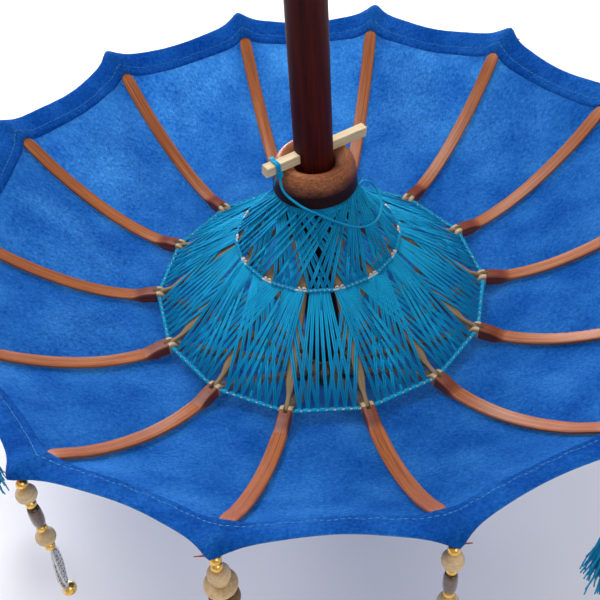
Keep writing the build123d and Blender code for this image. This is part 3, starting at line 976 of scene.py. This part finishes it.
def over_stretchers(layer):
    """Height of an outer thread in a layer, which settles onto both cords."""
    def height(x, y, share):
        settle = min(1.0, 9 * share + 0.3, 9 * (1 - share) + 0.1)
        return RING_Z + (RING_R - ring_radius(x, y)) * math.tan(SLOPE) + 0.35 + layer * settle
    return height


def under_runner(shift):
    """Height of an inner thread from the runner's edge down to the inner cord."""
    def height(x, y, share):
        return NET_TOP_Z + (INNER_RING_Z + 0.7 - NET_TOP_Z) * share + shift
    return height


def build_outer_net(rng):
    """Fans of doubled threads between the two cord rings."""
    sectors = [Builder() for _ in range(RIBS)]
    fans = [math.radians(angle) for angle in FAN_AZIMUTHS]
    for number, angle in enumerate(outer_loops()):
        near, next_near = sorted((wrapped(angle - fan) for fan in fans), key=abs)[:2]
        strands = [(angle - near + near * FAN_SPREAD, FAN_LIFTS[number % 2])]
        if abs(near) > 0.95 * STEP and abs(next_near) < 2.2 * STEP:
            strands.append((angle - next_near + next_near * FAN_SPREAD, NEXT_FAN_LIFT))
        else:
            strands.append((angle + math.copysign(0.72 * STEP, near), LEANING_LIFT))
        for inner_angle, lift in strands:
            start = ring_point(inner_angle, INNER_RING_R)
            end = ring_point(angle, RING_R)
            layer = lift + rng.uniform(-0.1, 0.1)
            for offset in (-PAIR_OFFSET, PAIR_OFFSET):
                a, b = side_step(start, end, offset + rng.uniform(-0.06, 0.06))
                lay_thread(sectors, a, b, over_stretchers(layer))
    return sectors


def build_inner_net(rng):
    """Doubled threads that run aslant from the runner to the inner cord."""
    sectors = [Builder() for _ in range(RIBS)]
    for bay in range(RIBS):
        for number in range(INNER_LOOPS_PER_BAY):
            angle = azimuth(bay) + STEP * (0.12 + 0.76 * (number + 0.5) / INNER_LOOPS_PER_BAY)
            end = ring_point(angle, INNER_RING_R)
            for lean in (-1, 1):
                slant = math.radians(40 + 9 * math.sin(3 * angle + lean) + rng.uniform(-3, 3))
                start = np.array(place(angle + lean * slant, 19.8 + 0.35 * lean, 0, 0)[:2])
                for offset in (-PAIR_OFFSET, PAIR_OFFSET):
                    a, b = side_step(start, end, offset + rng.uniform(-0.06, 0.06))
                    shift = 0.45 * lean + rng.uniform(-0.12, 0.12)
                    lay_thread(sectors, a, b, under_runner(shift))
    return sectors


def coil(start, end, radius, turns):
    """Path of a thread wound round a straight cord between two points."""
    axis = (end - start) / np.linalg.norm(end - start)
    up = np.array([0, 0, 1.0]) - axis * axis[2]
    up /= np.linalg.norm(up)
    across = np.cross(axis, up)
    angles = turn_angles(turns * 10, turns)
    middles = [start + (end - start) * angle / angles[-1] for angle in angles]
    return [middle + radius * (math.cos(angle) * up + math.sin(angle) * across)
            for middle, angle in zip(middles, angles)]


def ring_sector(index, corner_radius, height, half_flat):
    """Corner points of a cord ring between the bay middles beside a rib."""
    angle = azimuth(index)
    low = np.array(place(angle, corner_radius, -half_flat, height))
    high = np.array(place(angle, corner_radius, half_flat, height))
    before = place(angle - STEP, corner_radius, half_flat, height)
    after = place(angle + STEP, corner_radius, -half_flat, height)
    return [(before + low) / 2, low, high, (high + after) / 2]


def cord_with_wraps(index, corner_radius, height, half_flat, coils, rng):
    """White cord with blue loops wound on it between the ribs."""
    builder = Builder()
    points = ring_sector(index, corner_radius, height, half_flat)
    builder.tube(points, CORD_RADIUS, 10)
    for corner, middle in (points[1::-1], points[2:]):
        for number in range(coils):
            low, high = (corner + (middle - corner) * (number + share + rng.uniform(-0.05, 0.05)) / coils
                         for share in (0.10, 0.86))
            turns = max(2, round(np.linalg.norm(high - low) / 0.86))
            builder.tube(coil(low, high, CORD_RADIUS + 0.30, turns), 0.42, 6, slot=1)
    return builder.mesh("white", "blue")


def cord_knot(index, corner_radius, height, rng):
    """Short white cord knot that stands up beside a rib."""
    builder = Builder()
    angle = azimuth(index)
    for side in (-1, 1):
        path = [
            place(angle, corner_radius, side * 0.4, height + 0.5),
            place(angle, corner_radius - 0.6, side * (1.1 + rng.uniform(-0.3, 0.3)), height + 1.3),
            place(angle, corner_radius - 0.3, side * (1.9 + rng.uniform(-0.4, 0.6)),
                  height + 1.0 + rng.uniform(0, 0.8)),
        ]
        builder.tube(path, [CORD_RADIUS * 0.9, CORD_RADIUS * 0.9, CORD_RADIUS * 0.6])
    return builder.mesh("white")


def build_net():
    """Net threads, cord rings and knots, in one sector for each rib."""
    rng = random.Random(11)
    outer = build_outer_net(rng)
    inner = build_inner_net(rng)
    for index in range(RIBS):
        rib = numbered("rib", index)
        stretcher = numbered("stretcher", index)
        outer_cord = cord_with_wraps(index, RING_R, RING_Z, 3.6, 4, rng)
        inner_cord = cord_with_wraps(index, INNER_RING_R, INNER_RING_Z, 2.8, 3, rng)
        knot = cord_knot(index, INNER_RING_R, INNER_RING_Z, rng)
        for stem, mesh, body, slot, nodes, share in (
            ("outer_threads", outer[index].mesh("blue"), stretcher, "blue_thread", ["outer_net"], NET_SHARE),
            ("inner_threads", inner[index].mesh("blue"), stretcher, "blue_thread", ["inner_net"], NET_SHARE),
            ("outer_cord", outer_cord, rib, "white_cord", ["outer_ring_cord"], OUTER_CORD_SHARE),
            ("inner_cord", inner_cord, stretcher, "white_cord", ["inner_ring_cord"], NET_SHARE),
            ("inner_knot", knot, stretcher, "white_cord", [], KNOT_SHARE),
        ):
            gather(piece(numbered(stem, index), mesh, body, slot, nodes), share)


# ------------------------------------------------------- runner, peg and cord
def build_runner_trim():
    """Binding cord round the runner's edge and the top turns of the net."""
    builder = Builder()
    low, high = span("runner_binding", "x")
    radius = (high - low) / 2
    around = turn_angles(72)
    for slot, (inset, drop, size) in enumerate([(0.55, 0.55, 0.55), (0.75, 1.35, 0.45)]):
        path = [place(angle, radius - inset, 0, BINDING_TOP - drop) for angle in around]
        builder.tube(path, size, slot=slot)
    for turn in range(3):
        height = BINDING_Z - 1.1 - 0.75 * turn
        path = [place(angle, 19.9 + 0.3 * turn, 0, height + 0.25 * math.sin(2 * angle + turn))
                for angle in around]
        builder.tube(path, THREAD_RADIUS, slot=1)
    piece("runner_binding_cord", builder.mesh("tan", "blue"), "runner", "tan_cord", ["runner_binding"])


PEG_HALF = 2.5
PEG_EDGE = 0.35                     # chamfer of the peg's long edges
PEG_CORD_RADIUS = 0.62


def peg_point(along, side, up):
    """Point on the peg: along its length, to its side and above its middle."""
    d = PEG_DIRECTION
    return (d.x * along - d.y * side, d.y * along + d.x * side, PEG_Z + up)


def build_peg():
    """Square split stick with slightly uneven faces and one torn end."""
    rng = random.Random(5)
    low, high = span("lock_peg", "x")
    middle = (high + low) / 2 / PEG_DIRECTION.x
    reach = (high - low) / 2 / PEG_DIRECTION.x - PEG_HALF * abs(PEG_DIRECTION.y / PEG_DIRECTION.x)
    stations = np.linspace(middle - reach, middle + reach, 34)
    face = PEG_HALF - PEG_EDGE
    outline = [(-PEG_HALF, -face), (-PEG_HALF, face), (-face, PEG_HALF), (face, PEG_HALF),
               (PEG_HALF, face), (PEG_HALF, -face), (face, -PEG_HALF), (-face, -PEG_HALF)]
    rings = []
    for along in stations:
        ring = []
        for side, up in outline:
            shift = 0.05 * math.sin(along * 0.21 + side) + rng.uniform(-0.025, 0.025)
            slant = 0.12 * up if along in (stations[0], stations[-1]) else 0.0
            ring.append(peg_point(along + slant, side + shift, up + shift * 0.6))
        rings.append(ring)
    around = [0, 5, 5.7, 10.7, 11.4, 16.4, 17.1, 22.1, 22.8]
    end_grain = [(side * 3, up * 12) for side, up in outline]
    builder = Builder()
    builder.add(*skin(rings, around, stations, True, (end_grain, end_grain)))
    end = stations[-1]
    for side, up, splinter in ((-1.6, 2.1, 1.9), (-0.4, 2.3, 0.9), (0.9, 2.2, 1.2)):
        path = [peg_point(end - 2.5, side, up), peg_point(end + 0.1, side, up + 0.1),
                peg_point(end + splinter, side, up + 0.5)]
        builder.tube(path, [0.28, 0.2, 0.05], 5)
    piece("lock_peg_stick", builder.mesh("peg", sharp_angle=30), "lock_peg", "peg_wood", ["lock_peg"])


# The cord hangs from the peg and round the runner: x, y and drop below the runner's top.
DRAPE = [(-15.6, -16.6, 6.8), (-9.2, -20.9, 12.2), (1.6, -23.4, 18.0), (11.6, -23.6, 23.8),
         (19.0, -22.2, 27.8), (26.4, -17.4, 30.8), (31.6, -8.6, 32.0), (32.6, 2.0, 30.0),
         (29.4, 6.6, 25.0), (24.4, 3.4, 19.8), (21.2, -3.6, 16.8)]


def build_peg_cord():
    """Blue cord: looped on the peg, draped over the runner, tied at its foot."""
    builder = Builder()
    near_end = span("lock_peg", "x")[0] / PEG_DIRECTION.x + 6.6
    half = PEG_HALF + 0.75
    for turn in range(2):
        loop = []
        for angle in turn_angles(32):
            side = half * max(-1, min(1, 1.35 * math.sin(angle)))
            up = half * max(-1, min(1, 1.35 * math.cos(angle)))
            loop.append(peg_point(near_end + 1.15 * turn + 0.5 * math.sin(angle / 2), side, up))
        builder.tube(loop, PEG_CORD_RADIUS)
    knot = np.array(peg_point(near_end + 1.6, -2.2, -3.6))
    for number in range(3):
        across = np.array([math.cos(number * 1.1), math.sin(number * 1.1), 0])
        up = np.array([0, 0, 1])
        loop = [knot + 1.35 * (math.cos(angle) * across + math.sin(angle) * up) for angle in turn_angles(16)]
        builder.tube(loop, 0.6)
    drape = spline([knot, *((x, y, RUNNER_TOP - drop) for x, y, drop in DRAPE)], 90)
    builder.tube(drape, PEG_CORD_RADIUS)
    tail = spline([knot, knot + (-2.4, -0.4, -3.0), knot + (-2.9, 0.6, -7.0)], 12)
    builder.tube(tail, np.linspace(0.6, 0.4, 12), 7)
    cord = piece("peg_cord_thread", builder.mesh("blue"), None, "blue_thread", ["peg_cord"])
    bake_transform(cord)


# ------------------------------------------------------------------- tassels
def ball(radius, bore=0.5, squeeze=1.0):
    """Bead with a dimple at each end of its bore."""
    end = radius * 0.92 * squeeze
    profile = [(0, -end)]
    for step in range(1, 16):
        angle = math.pi * (step / 16 - 0.5)
        profile.append((max(radius * math.cos(angle), bore), radius * math.sin(angle) * squeeze))
    return lathe([*profile, (0, end)], 28)


# Half outlines of the turned beads, from bottom to top.
CUP = [(0, -8.6), (2.0, -8.8), (3.2, -8.7), (3.5, -7.6), (3.3, -6.8), (4.1, -5.6), (4.6, -3.8), (4.55, -2.0),
       (3.9, -0.6), (2.4, 0.0), (0.8, 0.0), (0, -0.2)]
FLARE = [(0, -7.4), (3.6, -7.6), (4.1, -7.0), (4.0, -4.2), (4.6, -3.2), (6.2, -2.7), (6.75, -2.0),
         (6.85, -1.2), (6.5, -0.5), (5.6, -0.1), (4.4, 0.1), (1.0, 0.1), (0, -0.1)]
DISC = [(0, -6.2), (3.8, -6.5), (5.6, -5.9), (6.3, -4.4), (6.35, -2.6), (5.8, -1.0), (4.4, -0.1), (2.0, 0.1),
        (0.8, -0.4), (0, -0.6)]
HORN = [(0, -12.6), (1.9, -13.0), (2.5, -12.6), (2.85, -10.0), (3.0, -6.5), (2.85, -3.0), (2.5, -0.5),
        (1.9, 0.0), (0, -0.4)]

# Strings of beads as (shape, drop of its origin below the tassel joint, tilt, material).
FRINGE_BEADS = [
    (ball(2.5), 8.0, 0, "gold"), (ball(2.5), 13.1, 0, "gold"), (lathe(CUP), 15.8, 0.04, "bead_wood"),
    (lathe(FLARE), 24.7, 0.05, "bead_wood"), (lathe(DISC), 33.4, 0.16, "bead_dark"),
]
LEAF_BEADS = [
    (ball(2.5), 9.0, 0, "gold"), (ball(4.5, 0.8, 0.94), 16.2, 0.1, "bead_wood"),
    (ball(2.4), 23.3, 0, "gold"), (lathe(HORN), 26.0, 0, "horn"),
    (ball(2.4), 41.6, 0, "gold"), (ball(4.5, 0.8, 0.94), 48.7, 0.1, "bead_wood"),
    (ball(2.5), 55.9, 0, "gold"), (ball(3.5), 94.0, 0, "gold"),
]


def beads(index, string):
    """One mesh of the beads on a string, each tilted its own way."""
    keys = list(dict.fromkeys(key for *_, key in string))
    builder = Builder()
    tilt_axis = place(azimuth(index) * 3, 1, 0, 0)
    for (vertices, faces, uvs), drop, tilt, key in string:
        turn = Matrix.Rotation(tilt, 4, tilt_axis)
        turned = [turn @ Vector(point) for point in vertices]
        builder.add([hang(index, x, y, drop - z) for x, y, z in turned], faces, uvs, keys.index(key))
    return builder.mesh(*keys)


def corner_loop(index, builder, rng):
    """Red thread from the rib tip through the cloth, knotted above the first bead."""
    for side in (-0.7, 0.7):
        strand = [hang(index, 0, side * 0.3, 0.2), hang(index, 0.4, side, 2.4),
                  hang(index, 0, side * 0.6, 4.6)]
        builder.tube(spline(strand, 9), 0.36, 7)
    for turn in range(3):
        drop = 3.5 + 0.62 * turn
        loop = [hang(index, 1.15 * math.cos(a), 1.35 * math.sin(a), drop - 0.35 * math.sin(a + turn))
                for a in turn_angles(16)]
        builder.tube(loop, 0.4, 7)
    lean = rng.choice((-1, 1))
    end = [
        hang(index, 0.6, lean * 0.9, 4.0),
        hang(index, 1.9, lean * 3.2, 3.4 - rng.uniform(-1, 0.6)),
        hang(index, 1.7, lean * (6.0 + rng.uniform(0, 2)), 3.6 - rng.uniform(-2.5, 0.6)),
    ]
    builder.tube(spline(end, 9), np.linspace(0.42, 0.2, 9), 6)


def hanging_thread(index, builder, bottom):
    """Straight red thread under the knot."""
    builder.tube([hang(index, 0, 0, drop) for drop in np.linspace(3.0, bottom, 12)], 0.38, 7)


def fringe(index, rng):
    """Thread tassel: a bound head of loops over a spread of loose ends."""
    builder = Builder()
    top = 44.0
    ends = 92
    golden_angle = 2.39996
    for number in range(ends):
        around = number * golden_angle
        reach = math.sqrt((number + 0.5) / ends)
        spread = reach * rng.uniform(7.5, 11.0)
        length = rng.uniform(58, 69) - 4 * reach
        phase = rng.uniform(0, 6.28)
        path = []
        for share in np.linspace(0, 1, 13):
            open_out = 2.3 * reach + (spread - 2.3 * reach) * share ** 1.5
            sway = 0.9 * share * math.sin(6.2 * share + phase)
            path.append(hang(index, open_out * math.cos(around) + sway,
                             open_out * math.sin(around) + sway * 0.6, top + 1.5 + length * share))
        builder.tube(path, np.linspace(0.46, 0.36, 13), 5)
    for around in turn_angles(18)[:-1]:
        path = []
        for a in np.linspace(0, math.pi, 9):
            x, y, _ = place(around, 2.6 + 1.6 * math.sin(a), 0, 0)
            path.append(hang(index, x, y, top - 3.4 * math.cos(a)))
        builder.tube(path, 0.42, 6)
    for turn in range(4):
        loop = [hang(index, 2.9 * math.cos(a), 2.9 * math.sin(a), top + 3.6 + 0.8 * turn)
                for a in turn_angles(24)]
        builder.tube(loop, 0.42, 6)
    return builder.mesh("blue")


def filigree(index, facing, lean):
    """Pierced oval leaf: rims, rows of small rings between them and dark dots."""
    builder = Builder()
    high, wide, middle = 14.8, 6.4, 74.6

    def spot(side, up):
        """Point of the leaf; it faces a direction and leans outward towards its foot."""
        out = lean * (high - up) / (2 * high)
        return hang(index, side * math.cos(facing) + 7 * out, side * math.sin(facing) + 5 * out, middle - up)

    def ring(side, up, a, b, size, steps):
        path = [spot(side + a * math.cos(t), up + b * math.sin(t)) for t in turn_angles(steps)]
        builder.tube(path, size, 6)

    def dot(side, up, size):
        cx, cy, cz = spot(side, up)
        profile = [(0, -size), (size * 0.8, -size * 0.6), (size, 0), (size * 0.8, size * 0.6), (0, size)]
        vertices, faces, uvs = lathe(profile, 8)
        builder.add([(x + cx, y + cy, z + cz) for x, y, z in vertices], faces, uvs, slot=1)

    def tall(share):
        """Half height of an oval whose width is a share of the leaf's."""
        return high * (0.1 + 0.9 * share)

    for share, size in ((1.0, 0.5), (0.68, 0.34), (0.34, 0.32)):
        ring(0, 0, wide * share, tall(share), size, 44)
    for share, count, start, size in ((0.84, 24, 0.5, 0.5), (0.51, 16, 0, 0.45)):
        for number in range(count):
            t = (number + start) * FULL_TURN / count
            side = wide * share * math.cos(t)
            up = tall(share) * math.sin(t)
            ring(side, up, 0.85, 1.15, 0.24, 10)
            dot(side, up, size)
    for up in (-5.2, -2.6, 0, 2.6, 5.2):
        ring(0, up, 1.3, 1.3, 0.24, 12)
        dot(0, up, 0.55)
    return builder.mesh("white_leaf", "horn")


def build_tassel(index, rng):
    """Tassel of one rib: a thread fringe on every second, two leaves on the others."""
    node = numbered("tassel", index)
    threads = Builder()
    corner_loop(index, threads, rng)
    if index % 2:
        string = FRINGE_BEADS
        hanging_thread(index, threads, 44.0)
        stray = spline([hang(index, 2, 1, 41), hang(index, 7, 4, 38), hang(index, 12, 9, 33)], 10)
        threads.tube(stray, np.linspace(0.36, 0.16, 10), 6)
        piece(node + "_fringe", fringe(index, rng), node, "blue_thread")
    else:
        string = LEAF_BEADS
        hanging_thread(index, threads, 92.0)
        for leaf, facing, lean in ((1, 0.5, 0.12), (2, 1.25, -0.12)):
            mesh = filigree(index, facing + rng.uniform(-0.4, 0.4), lean)
            piece(f"{node}_leaf_{leaf}", mesh, node, "bead_string")
    piece(node + "_beads", beads(index, string), node, "bead_string", [node])
    piece(node + "_threads", threads.mesh("red"), node, "bead_string")


# -------------------------------------------------- carried nodes and studio
CARRIED_NODES = {
    "pole": "pole", "crown_hub": "hub", "hub_cord": "white", "crown_cap": "crown",
    "finial": "crown", "runner": "runner", "runner_cord": "white",
}
LIGHTS = (                          # name, place in metres, width in metres, power
    ("back_glow", (-0.3, 1.3, 0.16), 0.9, 36),
    ("top_key", (-0.5, 0.6, 1.6), 0.9, 22),
    ("front_fill", (0.9, -1.3, 1.3), 1.2, 7),
)
CAMERA_PLACE = (0, -373.8, RING_Z + 364.4)
CAMERA_TURN = (44.8281, 2.9917, -1.2046)   # degrees about X, Y and Z
CAMERA_LENS = 57.26
FLOOR_HALF = 3000
FLOOR_Z = -0.3


def finish_node(name, material):
    """Give a CAD node its finished material."""
    mesh = frame["nodes"][name].data
    mesh.materials.clear()
    mesh.materials.append(MATERIALS[material])


def add_light(name, position, size, power):
    """Square area light that faces the umbrella."""
    lamp = bpy.data.lights.new(name, "AREA")
    lamp.size = size
    lamp.energy = power
    holder = add_object(name, lamp)
    holder.location = position
    aim = Vector((0, 0, RING_Z * MM)) - Vector(position)
    holder.rotation_euler = aim.to_track_quat("-Z", "Y").to_euler()


def build_floor():
    """Pale floor, faintly clouded."""
    shader = Shader("pale_floor")
    tint = shader.noise((0.002, 0.002, 0.002), "Object", 2)
    color = shader.ramp(tint, (0.3, (0.84, 0.82, 0.83)), (0.7, (0.87, 0.85, 0.86)))
    builder = Builder()
    corners = [(-1, -1), (1, -1), (1, 1), (-1, 1)]
    builder.add([(x * FLOOR_HALF, y * FLOOR_HALF, FLOOR_Z) for x, y in corners], [(0, 1, 2, 3)], [(0, 0)] * 4)
    mesh = builder.mesh()
    mesh.materials.append(shader.finish(color, 0.9))
    piece("floor", mesh)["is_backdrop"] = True


def build_studio():
    """Floor, soft light all round, three lamps and the camera."""
    scene = bpy.context.scene
    build_floor()
    scene.world = bpy.data.worlds.new("studio")
    scene.world.use_nodes = True
    sky = scene.world.node_tree.nodes["Background"]
    sky.inputs["Color"].default_value = (1.0, 0.985, 0.99, 1)
    sky.inputs["Strength"].default_value = 0.5
    scene.view_settings.view_transform = "Standard"
    for light in LIGHTS:
        add_light(*light)
    camera = bpy.data.cameras.new("camera")
    camera.lens = CAMERA_LENS
    camera.sensor_width = 36.0
    camera.clip_start = 0.01
    scene.camera = add_object("camera", camera)
    scene.camera.location = Vector(CAMERA_PLACE) * MM
    scene.camera.rotation_euler = [math.radians(angle) for angle in CAMERA_TURN]


# --------------------------------------------------------------------- build
place_straps(rib_mesh(), "rib", "strip", "stained_bamboo")
place_straps(stretcher_mesh(), "stretcher", "bamboo", "raw_bamboo")
build_canopy()
build_net()
build_runner_trim()
build_peg()
build_peg_cord()
tassel_rng = random.Random(23)
for tassel in range(RIBS):
    build_tassel(tassel, tassel_rng)
for node_name, material_key in CARRIED_NODES.items():
    finish_node(node_name, material_key)
build_studio()

[[list(corner) for corner in box] for box in (CAD_BOX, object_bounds())]
